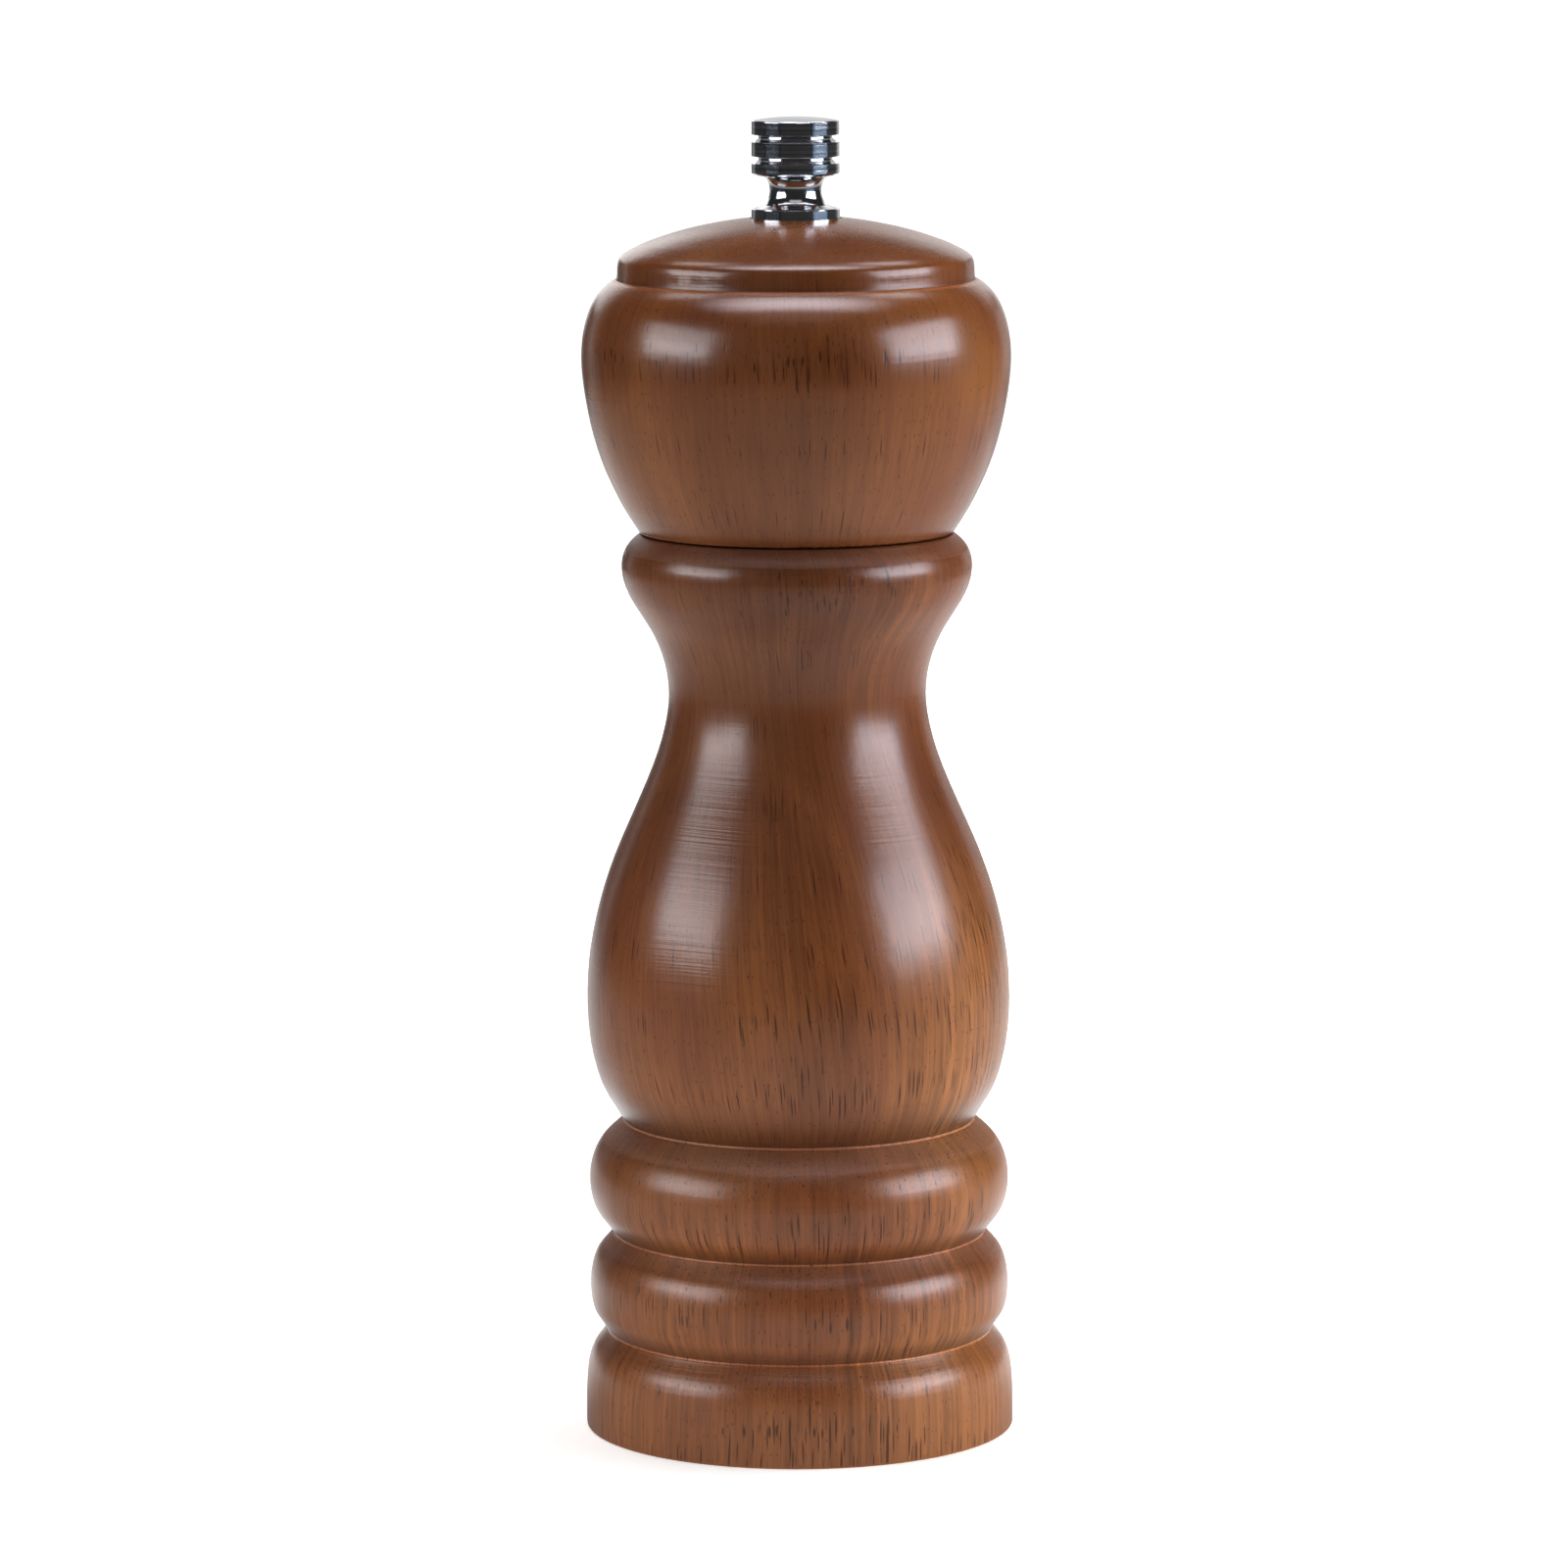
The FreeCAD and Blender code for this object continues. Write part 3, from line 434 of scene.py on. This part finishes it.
BODY_WOOD = stained_wood(
    "lacquered_walnut_body", (62.0, 96.0), 4.0, 0.8, 0.085, 0.257, 0.0, (0.20, 0.075),
    (0.20, [(24.0, -13.0, 52.0, 20.0, 42.0, 0.60), (20.0, -20.0, 22.0, 26.0, 22.0, 0.75), (2.0, -27.0, 52.0, 13.0, 16.0, 0.55), (4.0, -27.0, 6.0, 22.0, 10.0, 0.60), (12.0, -18.0, 107.0, 16.0, 6.0, 0.50), (-20.0, -18.0, 30.0, 16.0, 24.0, 0.25)]),
    (0.10, [(4.5, -26.0, 56.5, 7.0, 11.0, 0.90), (-7.0, -25.0, 54.0, 12.0, 10.0, 0.42), (13.0, -24.0, 60.0, 9.0, 9.0, 0.36), (12.0, -24.0, 30.0, 18.0, 6.0, 0.60), (10.0, -24.0, 18.0, 18.0, 5.5, 0.60), (0.0, -27.0, 5.0, 18.0, 8.0, 0.50), (-16.0, -20.0, 22.0, 10.0, 14.0, 0.25), (1.0, -21.0, 106.5, 8.0, 4.0, 0.70)]),
    [(1.5, -21.0, 107.6, 5.5, 3.0, 1.0), (-9.0, -19.0, 107.4, 6.0, 3.0, 0.6), (12.0, -18.0, 108.0, 8.0, 3.2, 0.8), (0.0, -26.0, 31.0, 26.0, 5.0, 0.22), (0.0, -26.0, 18.0, 26.0, 5.0, 0.22), (4.0, -27.0, 6.0, 24.0, 6.0, 0.22)],
    [(5.0, -26.0, 56.5, 4.0, 9.0, 0.50), (1.5, -26.0, 50.0, 7.0, 9.0, 0.25), (-6.0, -15.0, 86.0, 6.0, 9.0, 0.25)],
    [(4.0, -26.0, 56.0, 11.0, 12.0, 0.03), (0.0, -15.0, 90.0, 15.0, 9.0, 0.09), (12.0, -20.0, 70.0, 12.0, 10.0, 0.06)],
    [(26.0, -14.0, 54.0, 22.0, 40.0, 0.26), (20.0, -20.0, 14.0, 30.0, 32.0, 0.30), (-20.0, -18.0, 10.0, 20.0, 22.0, 0.14), (12.0, -18.0, 107.0, 16.0, 6.0, 0.20), (0.0, -26.0, 25.0, 28.0, 16.0, 0.24), (0.0, -22.0, 66.0, 20.0, 22.0, 0.14)],
    # warmer patches: amber wood and painted light
    [(24.0, -16.0, 50.0, 21.0, 40.0, 0.52), (22.0, -18.0, 6.0, 24.0, 24.0, 0.50), (-22.0, -14.0, 42.0, 14.0, 26.0, 0.10), (-24.0, -12.0, 4.0, 18.0, 12.0, 0.16), (0.0, -24.0, 62.0, 16.0, 18.0, 0.14), (0.0, -27.0, 3.0, 22.0, 8.0, 0.20)],
    # darker patches: darker wood and painted shade
    [(0.0, -18.0, 108.0, 22.0, 14.0, 0.55), (0.0, -18.0, 96.0, 26.0, 16.0, 0.36), (-2.0, -24.0, 78.0, 14.0, 22.0, 0.02), (-18.0, -18.0, 86.0, 15.0, 22.0, 0.34), (-24.0, -12.0, 21.0, 12.0, 7.0, 0.22), (-26.0, -6.0, 75.0, 14.0, 24.0, 0.28), (-24.0, -12.0, 30.0, 14.0, 14.0, 0.18), (-24.0, -12.0, 13.0, 14.0, 8.0, 0.15), (-6.0, -25.0, 31.0, 26.0, 6.0, 0.08)],
    [(-12.0, -20.0, 74.0, 15.0, 28.0, 1.2), (13.0, -18.0, 84.0, 9.0, 12.0, 0.8), (0.0, -22.0, 109.0, 22.0, 5.0, 0.8), (0.0, -24.0, 11.5, 30.0, 4.0, 1.2), (0.0, -24.0, 21.0, 30.0, 4.0, 0.9), (0.0, -24.0, 34.0, 30.0, 4.0, 0.9)],
    [(8.6, 12.5, 1.2, 1.0), (20.6, 25.0, 1.2, 1.0), (34.2, 39.4, 1.2, 1.0), (108.5, 113.6, 0.8, 1.0)],
    [(111.8, 113.7, 0.4, 0.22), (37.0, 39.4, 0.5, 0.22), (23.4, 25.0, 0.5, 0.12)],
    # quirks: height, reach and strength of the painted shade above each groove
    [(12.58, 3.0, 0.42), (25.05, 3.2, 0.44), (39.46, 7.0, 0.50)],
    bare_in_body)
HEAD_WOOD = stained_wood(
    "lacquered_walnut_head", (-58.0, 104.0), 11.5, 0.6, 0.02, 0.222, 0.045, (0.12, 0.16),
    (0.10, [(0.0, -26.0, 124.0, 28.0, 10.0, 0.08), (0.0, -26.0, 136.5, 30.0, 6.0, 0.30)]),
    (0.01, [(4.5, -26.0, 137.0, 10.0, 5.0, 0.50), (-17.0, -20.0, 136.5, 9.0, 4.8, 0.40), (18.0, -19.0, 137.0, 9.0, 5.0, 0.60)]),
    [(0.0, -26.0, 137.2, 9.0, 4.4, 0.55), (-13.0, -22.0, 136.6, 9.0, 4.0, 0.40), (14.0, -22.0, 137.4, 9.0, 4.6, 0.50), (-22.0, -12.0, 136.0, 8.0, 4.4, 0.45), (0.0, -24.0, 126.0, 26.0, 9.0, 0.10)],
    [(4.5, -26.0, 136.8, 8.0, 4.0, 0.40), (-22.0, -12.0, 135.0, 7.0, 4.5, 0.50), (17.0, -20.0, 137.0, 6.0, 4.5, 0.40)],
    [(0.0, -26.0, 135.0, 26.0, 5.5, 0.06), (0.0, -24.0, 124.0, 20.0, 8.0, 0.02)],
    [(22.0, -16.0, 130.0, 14.0, 16.0, 0.08)],
    # warmer patches: amber wood and painted light
    [(23.0, -12.0, 134.0, 9.0, 9.0, 0.40), (-21.0, -15.0, 121.0, 20.0, 13.0, 0.22), (0.0, -24.0, 116.0, 24.0, 6.0, 0.03), (-20.0, -16.0, 128.0, 14.0, 9.0, 0.20)],
    # darker patches: darker wood and painted shade
    [(0.0, -26.0, 136.0, 26.0, 5.0, 0.14), (0.0, -26.0, 128.0, 14.0, 9.0, 0.22), (20.0, -16.0, 122.0, 14.0, 14.0, 0.16)],
    [(0.0, -20.0, 147.0, 24.0, 3.0, 0.4)],
    [(137.5, 145.4, 3.0, 0.7)],
    [(145.2, 145.5, 0.1, 0.06)],
    # quirks: height, reach and strength of the painted shade above the cap's quirk
    [(145.30, 0.8, 0.20)],
    bare_in_head)
CHROME = turned_metal("polished_knob_steel", (0.66, 0.675, 0.70), 0.075, 0.0060, axis_lines=0.9)
SHAFT = drawn_steel("bright_square_bar", (0.50, 0.50, 0.51), 0.24)
PLATED = drawn_steel("nickel_plate", (0.60, 0.59, 0.56), 0.22, along=(0.15, 1.0, 1.0))
SCREW = drawn_steel("zinc_plate", (0.55, 0.57, 0.60), 0.26, along=(1.0, 1.0, 1.0))
SPRING = drawn_steel("spring_wire", (0.40, 0.40, 0.42), 0.26, along=(0.6, 0.6, 1.4))
CASING = cast_zinc("cast_zinc")
BURR = hardened_steel("burr_steel")
NYLON = nylon("natural_nylon")

FINISH = {
    "wood_body": BODY_WOOD,
    "wood_head": HEAD_WOOD,
    "adjusting_knob": CHROME,
    "drive_shaft": SHAFT,
    "burr_casing": CASING,
    "bearing_spider": CASING,
    "ring_burr": BURR,
    "cone_burr": BURR,
    "thrust_washer": NYLON,
    "pilot_bush": NYLON,
    "retaining_bar": PLATED,
    "upper_spring_seat": PLATED,
    "lower_spring_washer": PLATED,
    "cone_washer": PLATED,
    "drive_plate": PLATED,
    "head_ferrule": PLATED,
    "cone_nut": SCREW,
    "retaining_bar_screws": SCREW,
    "drive_plate_screws": SCREW,
    "grinder_spring": SPRING,
}
for node, material in FINISH.items():
    mesh = NODES[node].data
    mesh.materials.clear()
    mesh.materials.append(material)


# -------------------------------------------------------------------- spring
def spring_mesh(name, low, high, mean_radius, wire, active, steps=30, sides=14):
    """A compression spring with a closed turn at each end: the wire's centre
    line climbs slowly over the end turns and steadily between them."""
    ends = 0.9
    turns = active + 2 * ends
    count = int(turns * steps)
    rise = []
    for i in range(count + 1):
        t = i / steps
        end = min(t, turns - t)
        rise.append(0.18 if end < ends * 0.75 else 1.0)
    soft = [sum(rise[max(0, i - 6):i + 7]) / len(rise[max(0, i - 6):i + 7]) for i in range(count + 1)]
    z = [0.0]
    for i in range(count):
        z.append(z[-1] + (soft[i] + soft[i + 1]) / 2)
    height = high - low - 2 * wire
    z = [low + wire + height * v / z[-1] for v in z]
    bm = bmesh.new()
    rings = []
    for i in range(count + 1):
        a = 2 * math.pi * i / steps
        centre = Vector((mean_radius * math.cos(a), mean_radius * math.sin(a), z[i]))
        j, k = max(0, i - 1), min(count, i + 1)
        tangent = Vector((-mean_radius * math.sin(a), mean_radius * math.cos(a), (z[k] - z[j]) / ((k - j) * 2 * math.pi / steps))).normalized()
        out = Vector((math.cos(a), math.sin(a), 0.0))
        up = tangent.cross(out)
        rings.append([bm.verts.new(centre + wire * (math.cos(s) * out + math.sin(s) * up)) for s in (2 * math.pi * q / sides for q in range(sides))])
    for a, b in zip(rings, rings[1:]):
        for q in range(sides):
            bm.faces.new((a[q], a[(q + 1) % sides], b[(q + 1) % sides], b[q]))
    bm.faces.new(rings[0])
    bm.faces.new(list(reversed(rings[-1])))
    bmesh.ops.recalc_face_normals(bm, faces=bm.faces)
    mesh = bpy.data.meshes.new(name)
    bm.to_mesh(mesh)
    bm.free()
    for poly in mesh.polygons:
        poly.use_smooth = len(poly.vertices) == 4
    return mesh


low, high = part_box("grinder_spring")
spring = bpy.data.objects.new("grinder_spring_coil", spring_mesh("grinder_spring_coil", low.z, high.z, 0.00435, 0.00042, 3.6))
scene.collection.objects.link(spring)
spring.data.materials.append(SPRING)
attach(spring, "spindle")
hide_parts("grinder_spring")
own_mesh(spring)


# --------------------------------------------------------------------- studio
def emission_graph(name, surface):
    """An emission material whose strength comes from a small node tree."""
    mat = bpy.data.materials.new(name)
    mat.use_nodes = True
    t = mat.node_tree
    t.nodes.clear()
    out = t.nodes.new("ShaderNodeOutputMaterial")
    em = t.nodes.new("ShaderNodeEmission")
    t.links.new(surface(t), em.inputs[1])
    t.links.new(em.outputs[0], out.inputs[0])
    return mat, em


def math_node(t, op, a, b=None, clamp=False):
    n = t.nodes.new("ShaderNodeMath")
    n.operation = op
    n.use_clamp = clamp
    for i, v in enumerate((a, b)):
        if isinstance(v, bpy.types.NodeSocket):
            t.links.new(v, n.inputs[i])
        elif v is not None:
            n.inputs[i].default_value = v
    return n.outputs[0]


def range_node(t, v, a, b, lo, hi, smooth=True):
    n = t.nodes.new("ShaderNodeMapRange")
    n.interpolation_type = "SMOOTHSTEP" if smooth else "LINEAR"
    for k, w in (("From Min", a), ("From Max", b), ("To Min", lo), ("To Max", hi)):
        n.inputs[k].default_value = w
    t.links.new(v, n.inputs["Value"])
    return n.outputs["Result"]


def seen_by(o, *rays):
    """Limits which rays meet an object of the studio."""
    for ray in ("camera", "diffuse", "glossy", "transmission", "volume_scatter", "shadow"):
        setattr(o, "visible_" + ray, ray in rays)


def emitter(name, centre, target, width, height, strength, colour=(1.0, 1.0, 1.0), soft=0.18, rays=("diffuse", "glossy"), upper=1.0):
    """A softbox: a lit rectangle facing target, soft at its edges, its upper
    half dimmer by the factor upper. The camera doesn't see it."""
    bm = bmesh.new()
    bmesh.ops.create_grid(bm, x_segments=2, y_segments=2, size=0.5)
    mesh = bpy.data.meshes.new(name)
    bm.to_mesh(mesh)
    bm.free()
    o = bpy.data.objects.new(name, mesh)
    scene.collection.objects.link(o)

    def surface(t):
        co = t.nodes.new("ShaderNodeTexCoord")
        sep = t.nodes.new("ShaderNodeSeparateXYZ")
        t.links.new(co.outputs["Object"], sep.inputs[0])
        value = strength
        for axis in (0, 1):
            side = math_node(t, "ABSOLUTE", sep.outputs[axis])
            value = math_node(t, "MULTIPLY", range_node(t, side, 0.5, 0.5 - soft, 0.0, 1.0), value)
        value = math_node(t, "MULTIPLY", value, range_node(t, sep.outputs[1], -0.25, 0.15, 1.0, upper))
        face = t.nodes.new("ShaderNodeNewGeometry")
        return math_node(t, "MULTIPLY", value, math_node(t, "SUBTRACT", 1.0, face.outputs["Backfacing"]))

    mat, em = emission_graph(name, surface)
    em.inputs[0].default_value = (*colour, 1.0)
    mesh.materials.append(mat)
    direction = (Vector(target) - Vector(centre)).normalized()
    turn = direction.to_track_quat("Z", "Y").to_matrix().to_4x4()
    o.matrix_world = Matrix.Translation(centre) @ turn @ Matrix.Diagonal((width, height, 1.0, 1.0))
    seen_by(o, *rays)
    o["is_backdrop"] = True
    return o


def around(azimuth, distance, height):
    """A place round the mill; azimuth 0 is towards the camera, 90 to the right."""
    a = math.radians(azimuth)
    return (distance * math.sin(a), -distance * math.cos(a), height)


MIDDLE = (0.0, 0.0, 0.10)
COOL = (0.93, 0.96, 1.08)
PLAIN = (1.0, 0.98, 1.0)
WARM = (1.0, 0.985, 0.97)

# what the lacquer and the metal mirror
SHINE = ("glossy",)
emitter("softbox_right", around(74, 0.70, 0.305), (0.0, 0.0, -0.234), 0.62, 0.36, 11.3, COOL, 0.07, SHINE, 0.68)
emitter("softbox_left", around(-68, 0.69, 0.318), (0.0, 0.0, -0.237), 0.58, 0.32, 9.3, (0.96, 0.97, 1.02), 0.08, SHINE, 0.52)
emitter("softbox_top", (0.0, -0.065, 0.45), (0.0, -0.0651, 0.0), 0.50, 0.27, 10.0, COOL, 0.43, SHINE)
emitter("kicker_left", (-0.33, 0.33, 0.80), MIDDLE, 0.28, 0.30, 3.3, PLAIN, 0.25, SHINE)
emitter("kicker_right", (0.30, 0.30, 0.80), MIDDLE, 0.28, 0.30, 4.4, PLAIN, 0.25, SHINE)
emitter("ceiling_front", (0.0, -0.44, 0.72), MIDDLE, 0.70, 0.34, 0.70, PLAIN, 0.25, SHINE)
emitter("rim_right", around(152, 0.90, 0.14), MIDDLE, 0.36, 0.34, 0.6, WARM, 0.25, SHINE)
emitter("rim_left", around(-155, 0.90, 0.12), MIDDLE, 0.30, 0.26, 0.1, WARM, 0.25, SHINE)
# pale walls under the softboxes, seen in the steel
emitter("wall_right", around(69, 0.74, 0.075), MIDDLE, 0.70, 0.13, 0.40, (0.72, 1.0, 1.38), 0.16, SHINE)
emitter("wall_left", around(-64, 0.74, 0.075), MIDDLE, 0.68, 0.13, 0.058, (0.84, 1.0, 1.28), 0.14, SHINE)

# what lights the wood's own colour
FILL = ("diffuse",)
emitter("fill_right", around(76, 0.66, 0.30), MIDDLE, 0.60, 0.36, 4.0, WARM, 0.10, FILL)
emitter("fill_right_back", around(97, 0.90, 0.12), MIDDLE, 0.34, 0.34, 20.0, WARM, 0.15, FILL)
emitter("fill_left", around(-66, 0.70, 0.26), MIDDLE, 0.50, 0.34, 3.9, WARM, 0.14, FILL)
emitter("fill_left_back", around(-104, 0.90, 0.12), MIDDLE, 0.34, 0.34, 1.9, WARM, 0.15, FILL)
emitter("fill_front", around(-12, 0.73, 0.22), MIDDLE, 0.38, 0.34, 1.7, WARM, 0.25, FILL)
emitter("fill_top", (0.0, 0.12, 0.82), MIDDLE, 0.50, 0.40, 9.0, WARM, 0.20, FILL)


def disc(name, material, rays, radius=5.0, z=-0.00002):
    bm = bmesh.new()
    bmesh.ops.create_circle(bm, cap_ends=True, segments=96, radius=radius)
    mesh = bpy.data.meshes.new(name)
    bm.to_mesh(mesh)
    bm.free()
    o = bpy.data.objects.new(name, mesh)
    scene.collection.objects.link(o)
    o.location = (0.0, 0.0, z)
    mesh.materials.append(material)
    seen_by(o, *rays)
    o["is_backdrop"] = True
    return o


def floor_light(levels, lean, front=0.0, behind=0.0, far=0.0, close=0.0):
    """Strength from the distance to the mill, as (distance, strength) pairs,
    more on the right by lean, less in front by front, more behind by behind,
    with far and close added behind, a long way off and beside the foot."""
    def surface(t):
        co = t.nodes.new("ShaderNodeTexCoord")
        length = t.nodes.new("ShaderNodeVectorMath")
        length.operation = "LENGTH"
        t.links.new(co.outputs["Object"], length.inputs[0])
        sep = t.nodes.new("ShaderNodeSeparateXYZ")
        t.links.new(co.outputs["Object"], sep.inputs[0])
        r = length.outputs["Value"]
        value = levels[0][1]
        for (r0, v0), (r1, v1) in zip(levels, levels[1:]):
            value = math_node(t, "ADD", range_node(t, r, r0, r1, 0.0, v1 - v0), value)
        side = math_node(t, "DIVIDE", sep.outputs[0], r)
        side = math_node(t, "ADD", math_node(t, "MULTIPLY", side, lean), 1.0)
        near = math_node(t, "DIVIDE", sep.outputs[1], r)
        side = math_node(t, "ADD", math_node(t, "MULTIPLY", near, front), side)
        side = math_node(t, "ADD", range_node(t, near, 0.35, 0.92, 0.0, behind), side)
        value = math_node(t, "MULTIPLY", value, side)
        value = math_node(t, "ADD", value, math_node(t, "MULTIPLY", range_node(t, near, 0.62, 0.90, 0.0, far), range_node(t, r, 0.30, 0.60, 0.0, 1.0)))
        return math_node(t, "ADD", value, math_node(t, "MULTIPLY", range_node(t, near, 0.15, 0.85, 0.0, close), range_node(t, r, 0.17, 0.11, 0.0, 1.0)))
    return surface


# the floor: a pale sheet for the camera, and the light that comes back off it
mirrored, _ = emission_graph("floor_mirrored", floor_light(((0.028, 0.36), (0.10, 0.60), (0.25, 0.60), (0.45, 0.42), (0.70, 0.05)), 0.18, 0.14, 0.62, 0.48, 0.62))
disc("floor_mirrored", mirrored, SHINE, 3.0, -0.00010)
bounce, _ = emission_graph("floor_bounce", floor_light(((0.028, 1.50), (0.050, 2.10), (0.13, 1.90), (0.20, 0.55), (0.70, 0.05)), 0.20))
disc("floor_bounce", bounce, FILL, 1.2, -0.00015)

sheet = bpy.data.materials.new("studio_floor")
sheet.use_nodes = True
t = sheet.node_tree
t.nodes.clear()
out = t.nodes.new("ShaderNodeOutputMaterial")
coord = t.nodes.new("ShaderNodeTexCoord")
length = t.nodes.new("ShaderNodeVectorMath")
length.operation = "LENGTH"
t.links.new(coord.outputs["Object"], length.inputs[0])
seen = t.nodes.new("ShaderNodeBsdfDiffuse")
seen.inputs["Color"].default_value = (0.92, 0.92, 0.92, 1.0)
glow = t.nodes.new("ShaderNodeEmission")
t.links.new(range_node(t, length.outputs["Value"], 0.10, 0.80, 0.55, 1.10), glow.inputs["Strength"])
both = t.nodes.new("ShaderNodeAddShader")
t.links.new(seen.outputs[0], both.inputs[0])
t.links.new(glow.outputs[0], both.inputs[1])
t.links.new(both.outputs[0], out.inputs[0])
disc("studio_floor", sheet, ("camera",))

# surroundings: a white backdrop low behind the mill, dark elsewhere
world = bpy.data.worlds.new("studio")
scene.world = world
world.use_nodes = True
t = world.node_tree
t.nodes.clear()
out = t.nodes.new("ShaderNodeOutputWorld")
coord = t.nodes.new("ShaderNodeTexCoord")
sep = t.nodes.new("ShaderNodeSeparateXYZ")
t.links.new(coord.outputs["Generated"], sep.inputs[0])
behind = range_node(t, sep.outputs[1], 0.74, 0.92, 0.0, 1.15)
behind = math_node(t, "MULTIPLY", behind, range_node(t, sep.outputs[0], -0.04, -0.12, 1.0, 1.45))
middle = range_node(t, math_node(t, "ABSOLUTE", sep.outputs[0]), 0.12, 0.05, 0.0, 0.38)
middle = math_node(t, "MULTIPLY", middle, range_node(t, sep.outputs[2], 0.02, 0.08, 0.0, 1.0))
behind = math_node(t, "MULTIPLY", behind, math_node(t, "SUBTRACT", 1.0, middle))
behind = math_node(t, "MULTIPLY", behind, range_node(t, sep.outputs[2], 0.50, 0.32, 0.0, 1.0))
behind = math_node(t, "ADD", behind, 0.03)
env = t.nodes.new("ShaderNodeBackground")
t.links.new(behind, env.inputs["Color"])
white = t.nodes.new("ShaderNodeBackground")
white.inputs["Color"].default_value = (1.0, 1.0, 1.0, 1.0)
white.inputs["Strength"].default_value = 1.05
path = t.nodes.new("ShaderNodeLightPath")
pick = t.nodes.new("ShaderNodeMixShader")
t.links.new(path.outputs["Is Camera Ray"], pick.inputs[0])
t.links.new(env.outputs[0], pick.inputs[1])
t.links.new(white.outputs[0], pick.inputs[2])
t.links.new(pick.outputs[0], out.inputs[0])

scene.view_settings.view_transform = "Standard"
scene.view_settings.look = "None"

# --------------------------------------------------------------------- camera
camera = bpy.data.objects.new("camera", bpy.data.cameras.new("camera"))
scene.collection.objects.link(camera)
camera.data.sensor_width = 36.0
camera.data.lens = 168.8
camera.data.shift_x = -0.008675
camera.data.clip_start = 0.05
camera.data.clip_end = 30.0
camera.location = (0.0, -0.9147, 0.2131)
look = Matrix.Rotation(math.radians(90.0 - 8.169), 4, "X") @ Matrix.Rotation(math.radians(-0.20), 4, "Z")
camera.rotation_euler = look.to_euler()
scene.camera = camera

low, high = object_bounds()
